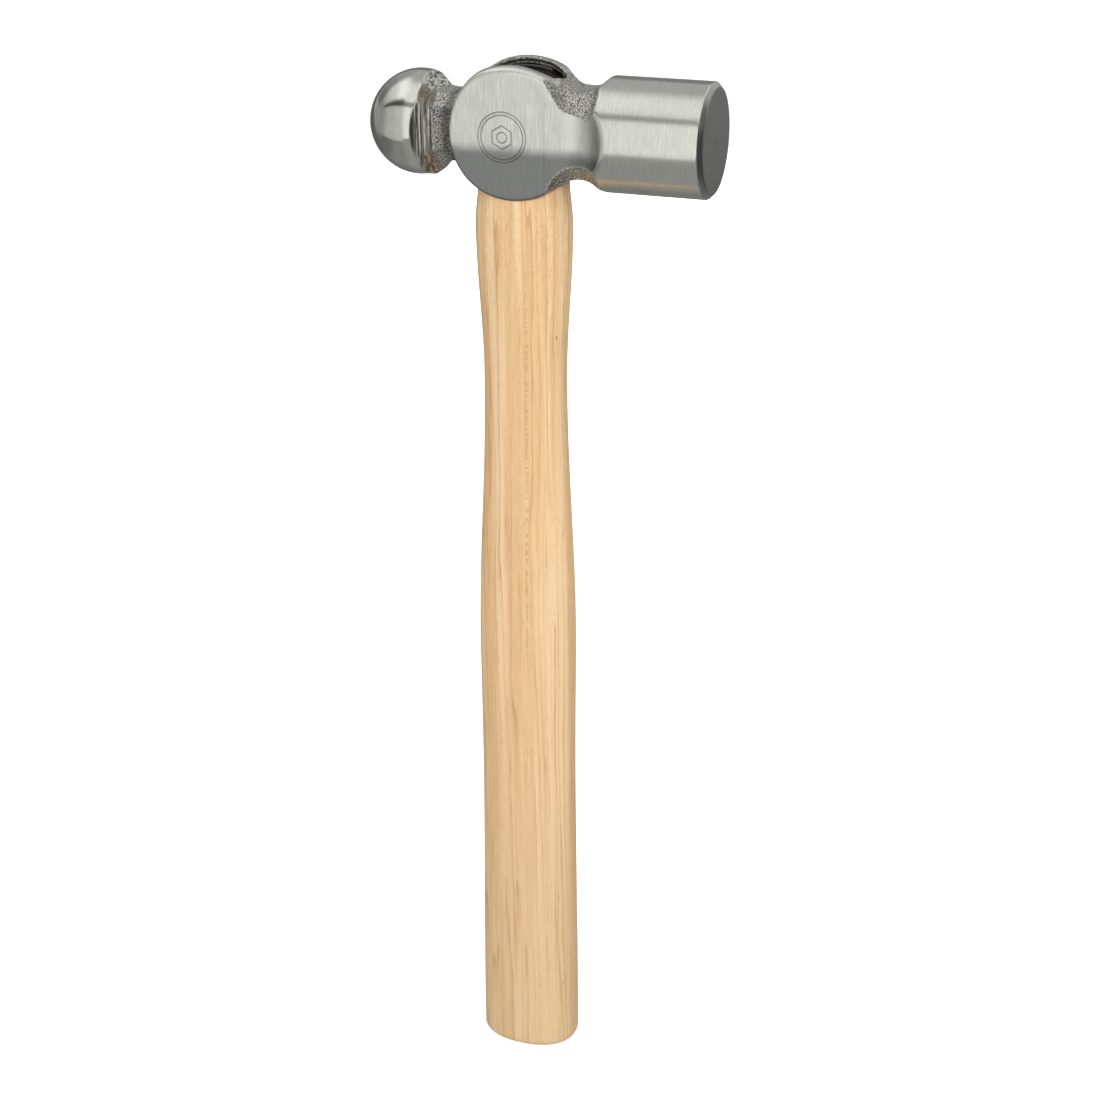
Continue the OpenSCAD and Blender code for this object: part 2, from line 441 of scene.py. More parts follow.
class Finish(Nodes):
    """A material's nodes, with places in millimetres from the centre of the eye."""

    def __init__(self, name):
        self.material = bpy.data.materials.new(name)
        self.material.use_nodes = True
        super().__init__(self.material.node_tree)
        shift = self.new("ShaderNodeMapping")
        shift.inputs["Location"].default_value = (0, 0, -HEAD_Z)
        shift.inputs["Scale"].default_value = (1 / MM,) * 3
        self.link(self.new("ShaderNodeTexCoord").outputs["Object"], shift.inputs["Vector"])
        self.p = shift.outputs["Vector"]
        self.x, self.y, self.z = self.split(self.p)

    def stretch(self, sx, sy, sz):
        node = self.new("ShaderNodeVectorMath", operation="MULTIPLY")
        self.link(self.p, node.inputs[0])
        node.inputs[1].default_value = (sx, sy, sz)
        return node.outputs[0]

    def noise(self, scale, detail=2.0, rough=0.5, distort=0.0):
        """Noise at one scale, or at three where the grain is longer one way."""
        drawn = isinstance(scale, tuple)
        node = self.new("ShaderNodeTexNoise")
        self.link(self.stretch(*scale) if drawn else self.p, node.inputs["Vector"])
        node.inputs["Scale"].default_value = 1.0 if drawn else scale
        node.inputs["Detail"].default_value = detail
        node.inputs["Roughness"].default_value = rough
        node.inputs["Distortion"].default_value = distort
        return node.outputs["Fac"]

    def cells(self, sx, sy, sz):
        """Distance to the nearest of a scatter of points."""
        node = self.new("ShaderNodeTexVoronoi", feature="F1")
        self.link(self.stretch(sx, sy, sz), node.inputs["Vector"])
        node.inputs["Scale"].default_value = 1.0
        return node.outputs["Distance"]

    def blend(self, fac, a, b):
        node = self.new("ShaderNodeMix", data_type="RGBA", blend_type="MIX")
        self.put(node.inputs["Factor"], fac)
        for socket, value in ((node.inputs[6], a), (node.inputs[7], b)):
            self.put(socket, (*value, 1.0) if isinstance(value, tuple) else value)
        return node.outputs[2]

    def attribute(self, name):
        return self.new("ShaderNodeAttribute", attribute_name=name).outputs["Fac"]

    def bumped(self, height, distance):
        """A normal from a height, at a distance in millimetres."""
        node = self.new("ShaderNodeBump")
        node.inputs["Strength"].default_value = 1.0
        node.inputs["Distance"].default_value = distance * MM
        self.link(height, node.inputs["Height"])
        return node.outputs[0]

    def shade(self, color, rough, normal, **inputs):
        """The finished material. inputs are the shader's own, with _ for a space."""
        node = self.new("ShaderNodeBsdfPrincipled")
        self.put(node.inputs["Base Color"], color)
        self.put(node.inputs["Roughness"], rough)
        self.link(normal, node.inputs["Normal"])
        for key, value in inputs.items():
            self.put(node.inputs[key.replace("_", " ")], value)
        self.link(node.outputs[0], self.new("ShaderNodeOutputMaterial").inputs["Surface"])
        return self.material


# ---------------------------------------------------------------- steel

def ground_color(g, marks, cheek):
    """Ground steel: brighter on the cheeks, with painted shade over their lower third."""
    blotch = g.noise(0.16, 3, 0.6)
    turned = g.blend(g.ramp(marks, 0.3, 0.72), (0.50, 0.505, 0.45), (0.64, 0.65, 0.60))
    upright = g.blend(g.ramp(marks, 0.3, 0.72), (0.51, 0.515, 0.465), (0.75, 0.76, 0.70))
    color = g.blend(cheek, turned, upright)
    color = g.blend(g.ramp(blotch, 0.35, 0.7, 0, 0.25), color, (0.48, 0.48, 0.43))
    # painted shade: the cheeks' lower third is darkened where a dark reflection falls
    low = g.mul(cheek, g.ramp(g.add(g.z, g.mul(blotch, 2.0)), -6.0, -1.2, 1.0, 0.0))
    return g.blend(g.mul(low, 0.9), color, (0.165, 0.17, 0.165))


def face_color(g):
    """The dull striking face, with a small dark centre mark."""
    cloud = g.ramp(g.noise(0.9, 5, 0.7), 0.3, 0.7)
    color = g.blend(cloud, (0.24, 0.242, 0.224), (0.35, 0.352, 0.324))
    out = g.math("SQRT", g.add(g.mul(g.y, g.y), g.mul(g.z, g.z)))
    return g.blend(g.ramp(out, 0.3, 1.0, 0.6, 0.0), color, (0.10, 0.10, 0.09))


def forged_color(g, speck, lines, streaks):
    """The skin as forged, speckled, or streaked where it is ridged."""
    raw = g.blend(speck, (0.13, 0.125, 0.115), (0.78, 0.78, 0.72))
    smear = g.ramp(g.noise(0.45, 3, 0.6), 0.45, 0.7, 0, 0.35)
    raw = g.blend(smear, raw, (0.24, 0.23, 0.21))
    return g.blend(streaks, raw, g.blend(lines, (0.13, 0.125, 0.11), (0.75, 0.75, 0.68)))


def steel_material():
    g = Finish("forged_steel_finish")
    forged = g.attribute("forged")
    face = g.attribute("face")
    bevel = g.attribute("bevel")
    cheek = g.attribute("cheek")
    streaks = g.attribute("streaks")
    fine = g.noise(6.0, 4, 0.6)
    # grinding marks: round the striking end and the ball, upright on the cheeks
    turned = g.noise((9.0, 0.25, 0.25), 3, 0.65)
    brushed = g.noise((5.5, 0.5, 0.16), 4, 0.7)
    marks = g.lerp(cheek, turned, brushed)
    speck = g.ramp(g.noise(2.05, 4, 0.78), 0.42, 0.58)
    lines = g.ramp(g.noise((1.9, 0.4, 0.06), 3, 0.7), 0.40, 0.58)
    color = g.blend(face, ground_color(g, marks, cheek), face_color(g))
    # painted highlight: a bright band on the land and a bright line in the eye's wall
    color = g.blend(g.attribute("painted_highlight"), color, (0.92, 0.93, 0.87))
    color = g.blend(bevel, color, (0.40, 0.405, 0.37))
    color = g.blend(forged, color, forged_color(g, speck, lines, streaks))
    color = g.blend(g.mul(g.attribute("stamp"), 0.6), color, (0.13, 0.13, 0.12))
    stain = g.mul(g.attribute("rust"), g.ramp(g.noise(0.9, 4, 0.7), 0.22, 0.5))
    brown = g.blend(fine, (0.17, 0.14, 0.115), (0.42, 0.36, 0.305))
    color = g.blend(stain, color, brown)
    color = g.blend(g.attribute("gloom"), color, (0.05, 0.048, 0.042))
    # painted shade inside the eye, below its crown
    color = g.blend(g.attribute("eye_painted_shade"), color, (0.012, 0.012, 0.011))
    # smoothest on the ball, then each other finish with its own roughness
    rough = g.ramp(marks, 0.25, 0.75, 0.24, 0.15)
    rough = g.mul(rough, g.ramp(g.x, -31.0, -28.0, 0.6, 1.0))
    rough = g.lerp(cheek, rough, g.ramp(marks, 0.25, 0.75, 0.42, 0.30))
    rough = g.lerp(face, rough, g.ramp(fine, 0.3, 0.7, 0.30, 0.42))
    rough = g.lerp(bevel, rough, g.ramp(fine, 0.3, 0.7, 0.16, 0.24))
    rough = g.lerp(forged, rough, g.ramp(speck, 0.0, 1.0, 0.60, 0.38))
    scratch = g.lerp(face, g.mul(marks, 0.010), g.mul(fine, 0.006))
    pits = g.lerp(streaks, g.mul(g.noise(2.2, 5, 0.75), 0.30), g.mul(lines, 0.08))
    height = g.lerp(forged, scratch, pits)
    return g.shade(color, rough, g.bumped(height, 1.0), Metallic=1.0)


# ---------------------------------------------------------------- wood and wedges

def wood_material():
    g = Finish("hickory_finish")
    # growth rings cut lengthways: bands that wander a little up the handle and
    # lean a little in its lower half
    wander = g.mul(g.add(g.noise((0.05, 0.05, 0.011), 2, 0.5), -0.5), 7.0)
    ripple = g.mul(g.add(g.noise((0.5, 0.5, 0.05), 2, 0.5), -0.5), 0.7)
    uneven = g.mul(g.noise((0.24, 0.24, 0.002), 2, 0.6), 9.0)
    lean = g.mul(g.math("MINIMUM", g.add(g.z, 170.0), 0.0), 0.024)
    flat = g.add(g.add(g.x, g.mul(g.y, 0.45)), lean)
    across = g.add(flat, g.add(g.add(wander, ripple), uneven))
    layer = g.math("FRACT", g.mul(g.add(across, 200.0), 0.34))
    ring_end = g.ramp(layer, 0.93, 1.0, 1.0, 0.0)
    late = g.mul(g.ramp(layer, 0.35, 0.90), ring_end)
    rim = g.mul(g.ramp(layer, 0.80, 0.90), ring_end)
    strength = g.ramp(g.noise((0.22, 0.22, 0.005), 3, 0.6), 0.38, 0.60, 0.12, 1.0)
    wide = g.noise((0.16, 0.16, 0.004), 3, 0.6)
    fibre = g.noise((3.2, 3.2, 0.06), 4, 0.7)
    hair = g.noise((7.0, 7.0, 0.35), 2, 0.6)
    color = g.blend(g.ramp(wide, 0.38, 0.60), (0.79, 0.51, 0.245), (0.91, 0.665, 0.385))
    color = g.blend(g.mul(g.mul(late, strength), 0.72), color, (0.70, 0.40, 0.185))
    color = g.blend(g.mul(g.mul(rim, strength), 0.65), color, (0.56, 0.27, 0.13))
    color = g.blend(g.ramp(fibre, 0.45, 0.68, 0, 0.45), color, (0.93, 0.72, 0.45))
    color = g.blend(g.ramp(hair, 0.35, 0.65, 0.2, 0), color, (0.54, 0.33, 0.15))
    pores = wood_pores(g, layer, ripple)
    color = g.blend(g.mul(pores, 0.5), color, (0.46, 0.26, 0.12))
    fleck = g.ramp(g.cells(0.15, 0.15, 0.042), 0.055, 0.03)
    color = g.blend(g.mul(fleck, 0.8), color, (0.20, 0.11, 0.05))
    # curled figure just under the head, and painted shade that makes the handle darker towards
    # the butt
    curl = g.ramp(g.noise((0.55, 0.55, 0.35), 3, 0.7, distort=1.0), 0.52, 0.66)
    curl = g.mul(g.mul(curl, g.band(g.z, -48.0, -24.0, 6.0)), 0.45)
    color = g.blend(curl, color, (0.62, 0.36, 0.17))
    color = g.blend(g.ramp(g.z, -330.0, -190.0, 0.30, 0.0), color, (0.55, 0.37, 0.19))
    # the end of the tenon, inside the eye, is coloured near black and has no varnish
    dark_end = g.ramp(g.z, 4.0, 12.0)
    varnish = g.ramp(g.z, 4.0, 12.0, 1.0, 0.0)
    color = g.blend(dark_end, color, (0.010, 0.009, 0.007))
    rough = g.add(g.ramp(fibre, 0.3, 0.7, 0.42, 0.55), g.mul(dark_end, 0.4))
    height = g.add(g.add(g.mul(fibre, 0.04), g.mul(pores, -0.05)), g.mul(late, 0.03))
    return g.shade(color, rough, g.bumped(height, 1.0),
                   Specular_IOR_Level=g.mul(varnish, 0.4),
                   Coat_Weight=g.mul(varnish, 0.12), Coat_Roughness=0.35)


def wood_pores(g, layer, ripple):
    """Open pores: short dark dashes, thickest along the rings, and a row of dots in front."""
    dash = g.ramp(g.noise((2.6, 2.6, 0.28), 2, 0.5), 0.60, 0.70)
    pores = g.mul(dash, g.ramp(layer, 0.0, 0.35, 1.0, 0.2))
    away = g.math("ABSOLUTE", g.add(g.add(g.x, -4.2), g.mul(ripple, 0.5)))
    spots = g.ramp(g.noise((0.2, 0.2, 1.1), 2), 0.45, 0.6)
    dots = g.mul(g.ramp(away, 0.2, 0.6, 1.0, 0.0), spots)
    dots = g.mul(dots, g.band(g.z, -185.0, -55.0, 20.0))
    return g.math("MAXIMUM", pores, g.mul(dots, g.ramp(g.y, -2.0, -6.0, 0.0, 1.0)))


def near_black_wood_material():
    g = Finish("wedge_wood_finish")
    fibre = g.noise((5.0, 5.0, 5.0), 4, 0.7)
    # the wood wedge is coloured near black
    color = g.blend(fibre, (0.008, 0.007, 0.006), (0.035, 0.028, 0.020))
    return g.shade(color, g.ramp(fibre, 0.3, 0.7, 0.7, 0.9), g.bumped(fibre, 0.15),
                   Specular_IOR_Level=0.1)


def wedge_steel_material():
    g = Finish("wedge_steel_finish")
    fibre = g.noise((0.6, 4.0, 4.0), 4, 0.7)
    color = g.blend(fibre, (0.02, 0.02, 0.018), (0.13, 0.13, 0.12))
    return g.shade(color, g.ramp(fibre, 0.3, 0.7, 0.3, 0.5), g.bumped(fibre, 0.08), Metallic=1.0)


# ---------------------------------------------------------------- head

FINE_GRID = 0.3
GRID_MARGIN = 1.5
FLATS = ("ball_side", "ball_diag", "ball_low", "ball_top")


def on(f, key, soft=0.35):
    """1 on one of the head's surfaces, fading out over a soft edge."""
    return 1 - step(0.05, soft, np.abs(f[key]))


def forged_zones(x, y, z, f):
    """Where the head is as forged: the necks, the flats, the eye's wall and, in part, the
    round side of the block."""
    neck = np.maximum(on(f, "face_neck"), on(f, "face_diag")) * (x > 0) * (f["eye"] > 0.1)
    behind = (x < -16) * (f["block"] > -0.1)
    flats = np.maximum.reduce([on(f, key) for key in FLATS]) * behind
    wall = (f["eye"] < 0.5) * 1.0
    around = on(f, "block", 0.6) * (np.abs(y) < HALF_T - 0.8)
    around = around * (0.10 + 0.65 * step(12, 17, x) + 0.5 * step(0, 8, -z))
    forged = np.clip(np.maximum.reduce([neck, flats, wall, around]), 0, 1)
    streaks = flats * (1 - step(-28.3, -27.3, x + 0.6 * on(f, "ball_diag")))
    return forged, streaks, flats, wall, behind


def forged_grain(p, streaks, wall):
    """The height of the forged skin, lower where it is ridged and inside the eye."""
    height = 0.04 * grain(p, (0.8, 0.8, 0.8), 5)
    height = height + 0.06 * grain(p, (1.7, 1.7, 1.7), 3) + 0.05 * grain(p, (2.8, 2.8, 2.8), 7)
    return height * (1 - 0.85 * streaks) * (1 - 0.7 * wall)


def stains(x, y, z, f, flats, behind):
    """Two brown patches behind the ball, one high and one low on the front."""
    angle = np.degrees(np.arctan2(z, -y))
    upper = between(x, (-31.8, -31.2), (-27.8, -27.0)) * on(f, "ball_diag")
    upper = upper * (z > 6) * (y < 0) * bump(47, 15, angle)
    lower = between(x, (-32.6, -31.6), (-28.2, -26.8)) * bump(-46, 17, angle)
    return np.clip(upper + 0.4 * lower * flats, 0, 1) * behind


def ground_zones(x, y, z, forged):
    """The striking face, its bevel, the cheeks, and the turned side of the striking end."""
    face = step(FACE_X - 0.35, FACE_X - 0.1, x)
    bevel = step(FACE_X - FACE_BEVEL - 0.1, FACE_X - FACE_BEVEL + 0.3, x) * (1 - face)
    turned = (np.abs(np.hypot(y, z) - POLL_R) < 0.5) & (x > 27)
    cheek = step(HALF_T - 2.6, HALF_T - 0.4, np.abs(y)) * ~turned
    cheek = cheek * (x > -23) * (x < 33) * (1 - forged)
    return face, bevel, cheek, turned


def eye_zones(x, y, z, wall):
    """The eye's upper wall: painted shade below its crown, but at the striking end's side, with
    one painted highlight line.
    """
    crown = np.hypot(x, z + BLOCK_SHIFT) - BLOCK_R
    # a painted highlight line along the wall, shown in the painted highlight colour
    eye_highlight_line = bump(-1.4, 0.26, crown) * wall * (y > 0) * step(-10.5, -5.0, x)
    dark = wall * step(0.2, 0.7, -crown) * (z > 0)
    dark = dark * (1 - 0.85 * step(10.8, 12.6, x)) * (1 - eye_highlight_line)
    return dark, eye_highlight_line


def gloomy(x, f, land, flats, behind):
    """The shaded corners of the flats, and of the land where it meets the striking end."""
    corner = on(f, "ball_side", 0.5) * behind
    corner = corner * np.maximum(0.75 * bump(-23.0, 2.2, x), 0.9 * bump(-33.1, 0.75, x))
    root = 0.6 * flats * bump(-21.8, 1.6, x)
    climb = 0.35 * land * bump(30.0, 2.6, x) * (f["land"] > -0.3)
    return np.maximum.reduce([corner, root, climb])


def head_finish_and_light(x, y, z, f):
    """How strongly each finish, painted shade and painted highlight shows at each point of the
    head, from 0 to 1.
    """
    forged, streaks, flats, wall, behind = forged_zones(x, y, z, f)
    face, bevel, cheek, turned = ground_zones(x, y, z, forged)
    eye_painted_shade, eye_highlight_line = eye_zones(x, y, z, wall)
    land = on(f, "land", 0.4) * (1 - turned)
    # painted highlight on the land, just before the striking end's hollow
    painted_highlight = 0.75 * land * (1 - forged) * step(-4.5, -2.0, z) * bump(21.3, 2.6, x) * (x > 14)
    return dict(forged=forged, streaks=streaks, face=face, bevel=bevel, cheek=cheek,
                eye_painted_shade=eye_painted_shade, painted_highlight=np.maximum(painted_highlight, 0.6 * eye_highlight_line),
                gloom=gloomy(x, f, land, flats, behind),
                rust=stains(x, y, z, f, flats, behind)), wall


def build_head():
    spacing = FINE_GRID
    low = (BALL_TIP - GRID_MARGIN, -POLL_R - GRID_MARGIN, -CROWN - GRID_MARGIN)
    high = (FACE_X + GRID_MARGIN, POLL_R + GRID_MARGIN, CROWN + GRID_MARGIN)
    p, quads = net(head_field, low, high, spacing)
    p, normal = settle(head_field, p)
    finish_and_light, wall = head_finish_and_light(*p.T, parts(*p.T))
    height = finish_and_light["forged"] * forged_grain(p, finish_and_light["streaks"], wall)
    p = p + normal * height[:, None]
    head = make("head_forging", p, quads.tolist(), "forged_steel", steel_material(), **finish_and_light)
    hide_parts("head")
    engrave(head.data)


STAMP_AT = (-3.1, -0.9)
STAMP_RINGS = (8.2, 7.2, 1.7)
STAMP_HEXAGON = 3.3
STAMP_WIDTH = 0.17
STAMP_DEPTH = 0.13
STAMP_NEAR = 0.6
# the mark is cut only where Y is below this, on the front cheek
CHEEK_Y = 0.3 - HALF_T


def stamp_distance(x, z):
    """Distance from the lines of a plain mark: two rings round a hexagon with a hole."""
    u, v = x - STAMP_AT[0], z - STAMP_AT[1]
    r = np.hypot(u, v)
    across = [np.abs(u * math.cos(a) + v * math.sin(a)) for a in np.radians((0, 60, 120))]
    lines = [np.abs(r - ring_r) for ring_r in STAMP_RINGS]
    lines.append(np.abs(np.maximum.reduce(across) - STAMP_HEXAGON))
    return np.minimum.reduce(lines)


def engrave(mesh):
    """Cuts the mark into the front cheek, on a mesh made finer along its lines."""
    work = bmesh.new()
    work.from_mesh(mesh)
    near = []
    for face in work.faces:
        c = face.calc_center_median() / MM
        if c.y < CHEEK_Y and stamp_distance(c.x, c.z - HEAD_Z) < STAMP_NEAR:
            near.append(face)
    edges = list({edge for face in near for edge in face.edges})
    bmesh.ops.subdivide_edges(work, edges=edges, cuts=2, use_grid_fill=True)
    work.to_mesh(mesh)
    work.free()
    p = np.empty(len(mesh.vertices) * 3, np.float32)
    mesh.vertices.foreach_get("co", p)
    p = p.reshape(-1, 3)
    away = stamp_distance(p[:, 0] / MM, p[:, 2] / MM - HEAD_Z)
    cut = bump(0, STAMP_WIDTH, away) * (p[:, 1] / MM < CHEEK_Y)
    p[:, 1] += STAMP_DEPTH * MM * cut
    mesh.vertices.foreach_set("co", p.ravel())
    data = mesh.attributes.new("stamp", "FLOAT", "POINT")
    data.data.foreach_set("value", cut.astype(np.float32))
    mesh.update()


# ---------------------------------------------------------------- handle

# The handle's heights are from the butt, and its shoulder is the top of its outside
SHOULDER_FOOT = HEAD_Z - 32
SHOULDER_TOP = HEAD_Z - 8
STATIONS = [0, 130, 172, 274, SHOULDER_FOOT, SHOULDER_TOP]
WIDTHS = [37.2, 34.9, 35.2, 28.8, 33.0, 30.6]
DEPTHS = [27.6, 26.0, 26.4, 22.0, 24.6, 24.0]
BUTT_ROUND = 2.4
BUTT_STEPS = 9
BUTT_RINGS = np.linspace(0.05, 0.96, 10)
TOP_RINGS = (0.8, 0.55, 0.3)
# the exponent that makes the section a little squarer than an ellipse
OVAL = 2.25
SIDES = 96
RINGS = 220
SEAT_GAP = 0.02
# how far the shoulder's flat seat, under the striking end's side, lies above the head's foot
SEAT_RISE = 5


def eased(z, values):
    """Widths or depths at heights z, eased from station to station."""
    i = np.clip(np.searchsorted(STATIONS, z) - 1, 0, len(STATIONS) - 2)
    s, v = np.array(STATIONS, float), np.array(values, float)
    t = np.clip((z - s[i]) / (s[i + 1] - s[i]), 0, 1)
    return v[i] + (v[i + 1] - v[i]) * (1 - np.cos(np.pi * t)) / 2


def oval(width, depth, z):
    """One ring of the handle at height z."""
    a = np.arange(SIDES) * 2 * np.pi / SIDES
    wave = np.stack([np.cos(a), np.sin(a)], 1)
    bent = np.sign(wave) * np.abs(wave) ** (2 / OVAL)
    return np.c_[bent * [width / 2, depth / 2], np.full(SIDES, z)]


def block_underside(x):
    """Height of the eye block's round underside, which the shoulder is seated on."""
    return HEAD_Z + BLOCK_SHIFT - np.sqrt(np.maximum((BLOCK_R + SEAT_GAP) ** 2 - x * x, 0))


def seated(p):
    """The shoulder's points, stretched so that its top follows the eye block."""
    x, y, z = p.T
    level = HEAD_Z + SEAT_RISE - CROWN
    seat = block_underside(x)
    seat = np.where(x > 0, np.minimum(seat, level), seat)
    seat = np.minimum(seat, SHOULDER_TOP)
    span = np.clip((z - SHOULDER_FOOT) / (SHOULDER_TOP - SHOULDER_FOOT), 0, 1)
    lifted = SHOULDER_FOOT + span * (seat - SHOULDER_FOOT)
    return np.c_[x, y, np.where(z > SHOULDER_FOOT, lifted, z)]


def build_handle(wood):
    flat = (WIDTHS[0] - 2 * BUTT_ROUND, DEPTHS[0] - 2 * BUTT_ROUND)
    rings = [oval(flat[0] * s, flat[1] * s, 0) for s in BUTT_RINGS]
    for a in np.linspace(0, math.pi / 2, BUTT_STEPS):
        cut = 2 * BUTT_ROUND * (1 - math.sin(a))
        rings.append(oval(WIDTHS[0] - cut, DEPTHS[0] - cut, BUTT_ROUND * (1 - math.cos(a))))
    heights = np.linspace(BUTT_ROUND, SHOULDER_TOP, RINGS)[1:]
    for width, depth, z in zip(eased(heights, WIDTHS), eased(heights, DEPTHS), heights):
        rings.append(oval(width, depth, z))
    rings = [seated(ring) for ring in rings]
    # the top closes through a few shrinking rings, still on the seat
    last = rings[-1]
    for s in TOP_RINGS:
        x, y = last[:, 0] * s, last[:, 1] * s
        rings.append(np.c_[x, y, block_underside(x)])
    faces = []
    for i in range(len(rings) - 1):
        faces += strip(i * SIDES, (i + 1) * SIDES, SIDES)
    foot = len(rings) * SIDES
    faces += fan(foot, 0, SIDES, down=True)
    faces += fan(foot + 1, foot - SIDES, SIDES)
    p = np.concatenate(rings + [[[0, 0, 0]], [[0, 0, block_underside(0)]]])
    piece = make("handle_hickory", p, faces, "hickory", wood, lift=0)
    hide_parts("handle")


# the tenon ends below the crown; each wedge narrows by its taper over its depth
TENON_DROP = 2.4
TENON_FOOT = 4.0
TENON_BOX = ((-16, -10, 3), (16, 10, CROWN))
TENON_GRID = 0.35
TENON_EDGE = 0.3
SLIT_EDGE = 0.2
WOOD_WEDGE = dict(half=2.2, taper=1.4, deep=33)
STEEL_WEDGE = dict(half=1.3, taper=0.95, deep=19)
STEEL_WEDGE_TURN = math.radians(24)
STEEL_WEDGE_HALF = 9.5


def slit(v, z, half, taper, deep):
    """A wedge's slit, negative inside it."""
    return np.abs(v) - (half - taper * np.clip((CROWN - z) / deep, 0, 1))


def tenon_field(x, y, z):
    """The tenon: what fills the eye, less the slits of both wedges."""
    crown = np.hypot(x, z + BLOCK_SHIFT) - (BLOCK_R - TENON_DROP)
    cos, sin = math.cos(STEEL_WEDGE_TURN), math.sin(STEEL_WEDGE_TURN)
    u, v = x * cos + y * sin, y * cos - x * sin
    steel = np.maximum(np.abs(u) - STEEL_WEDGE_HALF, slit(v, z, **STEEL_WEDGE))
    solid = both(both(eye_slot(x, y, z), crown, TENON_EDGE), TENON_FOOT - z)
    return both(both(solid, -slit(y, z, **WOOD_WEDGE), SLIT_EDGE), -steel, SLIT_EDGE)


def build_tenon(wood):
    p, quads = net(tenon_field, *TENON_BOX, TENON_GRID)
    p, normal = settle(tenon_field, p)
    fibre = grain(p, (2.4, 2.4, 0.5), 11) * 0.05 * (p[:, 2] > 12)
    p = p + normal * fibre[:, None]
    piece = make("handle_tenon", p, quads.tolist(), "hickory", wood)
    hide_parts("handle")


def finish_wedges():
    """The CAD solids of both wedges, with new materials."""
    for name, finish in (("wood_wedge", near_black_wood_material()),
                         ("steel_wedge", wedge_steel_material())):
        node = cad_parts[name]
        node.data.materials.clear()
        node.data.materials.append(finish)


hickory = wood_material()
build_head()
build_handle(hickory)
build_tenon(hickory)
finish_wedges()


# ---------------------------------------------------------------- stage

FLOOR_SIDES = 64
# radii of the floor's rings, in metres
FLOOR_RINGS = (0.5, 2, 6, 14)


def studio_floor():
    """A round pale floor that is seen but lights and shades nothing."""
    a = np.arange(FLOOR_SIDES) * 2 * np.pi / FLOOR_SIDES
    flat = np.zeros(FLOOR_SIDES)
    rings = [np.c_[r * np.cos(a), r * np.sin(a), flat] for r in FLOOR_RINGS]
    p = np.concatenate(rings + [[[0, 0, 0]]])
    faces = fan(len(p) - 1, 0, FLOOR_SIDES)
    for i in range(len(rings) - 1):
        faces += strip((i + 1) * FLOOR_SIDES, i * FLOOR_SIDES, FLOOR_SIDES)
    mesh = bpy.data.meshes.new("floor")
    mesh.from_pydata(p.tolist(), [], faces)
    floor = bpy.data.objects.new("floor", mesh)
    bpy.context.collection.objects.link(floor)
    material = bpy.data.materials.new("pale_floor")
    material.use_nodes = True
    shader = material.node_tree.nodes["Principled BSDF"]
    shader.inputs["Base Color"].default_value = (0.93, 0.93, 0.93, 1)
    shader.inputs["Roughness"].default_value = 0.9
    shader.inputs["Emission Color"].default_value = (1, 1, 1, 1)
    shader.inputs["Emission Strength"].default_value = 0.45
    mesh.materials.append(material)
    for ray in ("visible_glossy", "visible_diffuse", "visible_transmission", "visible_shadow"):
        setattr(floor, ray, False)


# how high the gap between the front and top panels lies: each of its edges is a soft
# stretch between two angles, and at the left the upper one is softer
GAP_START = (math.radians(36), math.radians(39.5))
GAP_END = (math.radians(46.5), math.radians(51))
GAP_END_LEFT = math.radians(64)


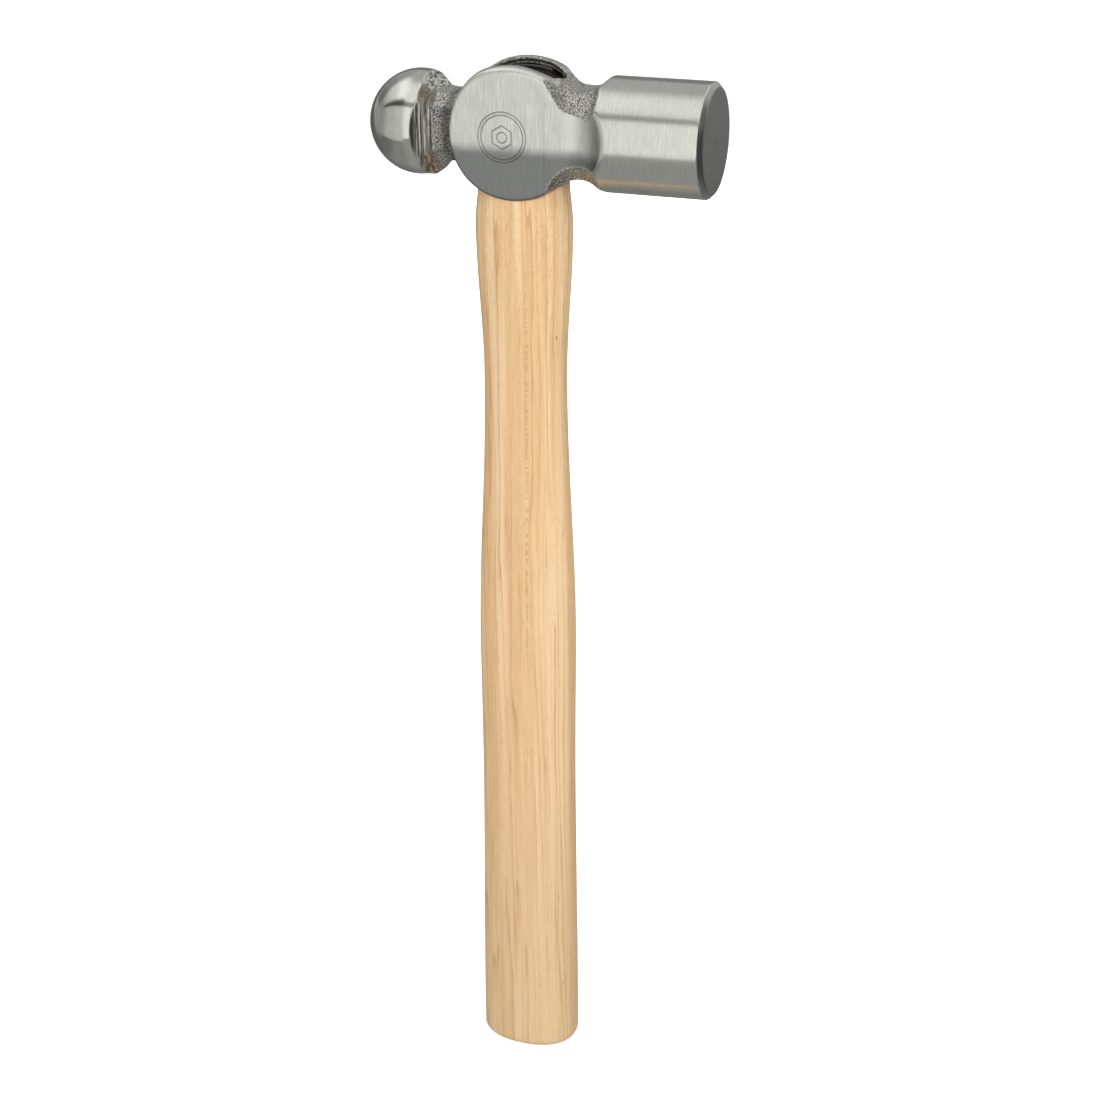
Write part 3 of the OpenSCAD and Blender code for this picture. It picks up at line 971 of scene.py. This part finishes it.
def studio_world():
    """A soft studio: a wide front panel, a gap, a top panel and greyer surroundings."""
    world = bpy.data.worlds.new("studio")
    bpy.context.scene.world = world
    world.use_nodes = True
    g = Nodes(world.node_tree)
    x, y, z = g.split(g.new("ShaderNodeTexCoord").outputs["Generated"])
    rad = math.radians

    def by_side(left, right):
        """One value at the left and another everywhere else."""
        return g.ramp(x, -0.42, -0.32, left, right)

    def stairs(level, stretches):
        """A level that changes by a gain over each stretch of x."""
        for start, end, gain in stretches:
            level = g.add(g.ramp(x, start, end, 0.0, gain), level)
        return level

    front = g.mul(y, -1.0)
    # how far round a direction lies from the front, positive to the right
    round_front = g.math("ARCTAN2", x, front)
    # how high the panels' edges see it: they run along X and close in to the left
    high = g.math("ARCTAN2", g.add(z, g.mul(x, 0.17)), front)
    foot = g.add(g.mul(x, -0.25), g.mul(y, -0.55))
    foot = g.math("SUBTRACT", foot, by_side(0.0, 0.1))
    low = g.ramp(g.add(z, foot), -0.03, 0.02, 1.0, 0.0)
    # front panel
    glow = stairs(0.40, ((-1.0, -0.85, 0.27), (-0.8, -0.55, 0.12), (-0.42, -0.28, 0.50)))
    glow = g.mul(glow, g.ramp(round_front, rad(26), rad(36), 1.0, 0.35))
    glow = g.mul(glow, g.ramp(high, *GAP_START, 1.0, 0.0))
    # top panel, fading towards the back, its edges softer to the left
    sky = stairs(0.35, ((-0.97, -0.9, 0.3), (-0.9, -0.75, 0.35), (-0.72, -0.55, 0.42),
                        (-0.4, -0.3, -0.26)))
    sky = g.mul(sky, g.ramp(high, GAP_END[0], by_side(GAP_END_LEFT, GAP_END[1])))
    sky = g.mul(sky, g.ramp(high, by_side(rad(104), rad(84)), by_side(rad(134), rad(114)),
                            1.0, by_side(0.33, 0.5)))
    gap = g.mul(g.ramp(high, *GAP_START), g.ramp(high, *GAP_END, by_side(0.1, 0.4), 0.0))
    above = g.mul(g.add(g.add(glow, sky), gap), g.math("SUBTRACT", 1.0, low))
    # below the panels
    under = g.add(g.ramp(x, -0.8, -0.6, 0.22, 0.35), by_side(0.0, 0.08))
    under = g.mul(g.mul(under, low), g.ramp(y, 0.1, 0.6, 1.0, 0.6))
    light = g.mul(g.add(above, under), g.ramp(x, 0.3, 0.85, 1.0, 0.25))
    # soft fill at the back right, and a plain grey wall at the far left
    fill = g.mul(g.ramp(y, 0.1, 0.5, 0.0, 0.5), g.ramp(z, -0.3, 0.1))
    light = g.add(light, g.mul(fill, g.ramp(x, -0.15, 0.25)))
    wall = g.ramp(x, -0.99, -0.90, 1.0, 0.0)
    light = g.add(g.mul(light, g.math("SUBTRACT", 1.0, wall)), g.mul(wall, 0.42))
    # the camera itself sees plain white
    seen = g.new("ShaderNodeLightPath").outputs["Is Camera Ray"]
    back = g.new("ShaderNodeBackground")
    back.inputs["Color"].default_value = (1, 1, 1, 1)
    g.put(back.inputs["Strength"], g.lerp(seen, light, 1.0))
    g.link(back.outputs[0], g.new("ShaderNodeOutputWorld").inputs["Surface"])


# name, place and aim in metres, width in metres, power in watts
LAMPS = [
    ("front_panel", (0.62, -1.15, 0.95), (0, 0, 0.28), 0.9, 9.0),
    ("right_panel", (1.3, -0.1, 0.5), (0, 0, 0.2), 1.0, 6.5),
    ("left_panel", (-1.3, 0.1, 0.6), (0, 0, 0.2), 1.0, 1.2),
    ("back_panel", (-0.2, 1.4, 0.6), (0, 0, 0.2), 1.0, 6.0),
]


def soft_light(name, at, aim, size, power):
    """A soft panel that lights dull surfaces; the studio world gives the reflections."""
    data = bpy.data.lights.new(name, "AREA")
    data.shape = "SQUARE"
    data.size = size
    data.energy = power
    lamp = bpy.data.objects.new(name, data)
    bpy.context.collection.objects.link(lamp)
    lamp.location = at
    lamp.rotation_euler = (Vector(aim) - Vector(at)).to_track_quat("-Z", "Y").to_euler()
    lamp.visible_glossy = False
    lamp.visible_camera = False


# the camera's place in metres, its turns in radians and its focal length in millimetres
CAMERA_AT = (0.22151, -0.61457, 0.49895)
YAW, PITCH, ROLL = 0.33365, 0.41969, 0.00459
LENS = 65.4545
SENSOR = 36
FAR = 60


def studio_camera():
    forward = Vector((-math.sin(YAW) * math.cos(PITCH), math.cos(YAW) * math.cos(PITCH),
                      -math.sin(PITCH)))
    right = Vector((math.cos(YAW), math.sin(YAW), 0))
    down = forward.cross(right)
    across = right * math.cos(ROLL) + down * math.sin(ROLL)
    below = down * math.cos(ROLL) - right * math.sin(ROLL)
    data = bpy.data.cameras.new("camera")
    data.lens = LENS
    data.sensor_width = SENSOR
    data.clip_end = FAR
    camera = bpy.data.objects.new("camera", data)
    bpy.context.collection.objects.link(camera)
    turn = Matrix((across, -below, -forward)).transposed()
    camera.matrix_world = Matrix.Translation(CAMERA_AT) @ turn.to_4x4()
    bpy.context.scene.camera = camera


studio_floor()
studio_world()
for lamp in LAMPS:
    soft_light(*lamp)
studio_camera()
bpy.context.scene.view_settings.view_transform = "Standard"
